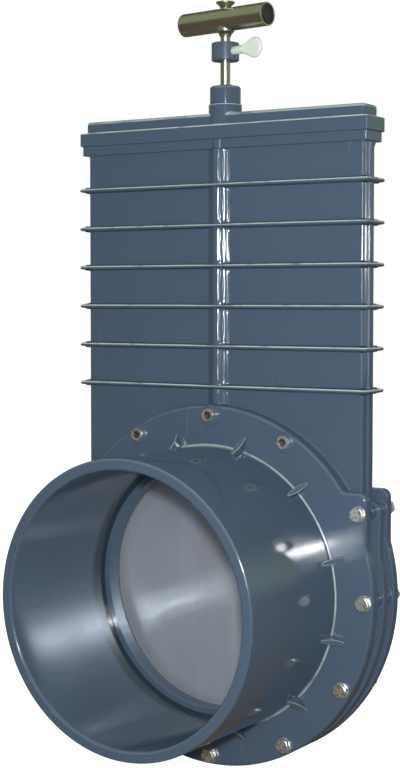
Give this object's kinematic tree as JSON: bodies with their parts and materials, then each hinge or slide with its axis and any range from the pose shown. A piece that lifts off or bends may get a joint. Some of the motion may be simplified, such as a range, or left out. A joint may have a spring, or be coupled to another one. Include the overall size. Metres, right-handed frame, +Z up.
{
  "type": "slide gate valve",
  "caption": "Push-pull slide gate valve: round pipe sockets on bolted flanges, tall ribbed flat casing, and a rod with a T-handle that lifts the gate.",
  "frame": {"origin": "on the pipe axis, in the plane of the rear socket's mouth", "axes": "+Y along the pipe out of the rear socket, so the front socket looks along -Y; +Z up along the lift rod; +X across the casing to the right"},
  "size_m": [0.439, 0.345, 0.9255],
  "materials": {
    "pvc": "moulded grey-blue, glossy",
    "collar_pvc": "turned dark grey, satin",
    "seal_rubber": "matt black",
    "gate_steel": "rolled stainless",
    "rod_steel": "ground stainless",
    "handle_steel": "polished stainless",
    "plug_plastic": "black",
    "nylon": "translucent white"
  },
  "bodies": {
    "valve_body": {"front_socket": "pvc", "rear_socket": "pvc", "front_flange": "pvc", "rear_flange": "pvc", "front_gussets": "pvc", "rear_gussets": "pvc", "front_seat_seal": "seal_rubber", "rear_seat_seal": "seal_rubber", "front_casing_half": "pvc", "rear_casing_half": "pvc", "spacer_frame": "pvc", "bonnet_cap": "pvc", "gland": "pvc", "rod_seal": "seal_rubber"},
    "gate_assembly": {"gate_plate": "gate_steel", "gate_coupling": "gate_steel", "lift_rod": "rod_steel", "handle_tube": "handle_steel", "handle_plugs": "plug_plastic", "handle_saddle": "handle_steel", "rod_head": "handle_steel"},
    "stop_collar": {"stop_collar": "collar_pvc"},
    "thumb_screw": {"thumb_screw": "nylon"}
  },
  "joints": [
    {"name": "gate_lift", "type": "slide", "parent": "valve_body", "child": "gate_assembly", "axis": [0, 0, 1], "range_m": [0, 0.322]},
    {"name": "collar_slide", "type": "slide", "parent": "gate_assembly", "child": "stop_collar", "axis": [0, 0, 1], "range_m": [-0.025, 0.0025]},
    {"name": "screw_turn", "type": "hinge", "parent": "stop_collar", "child": "thumb_screw", "pos_m": [0, -0.124, 0.64595], "axis": [0.9563, -0.2924, 0], "range_deg": [0, 360]}
  ]
}
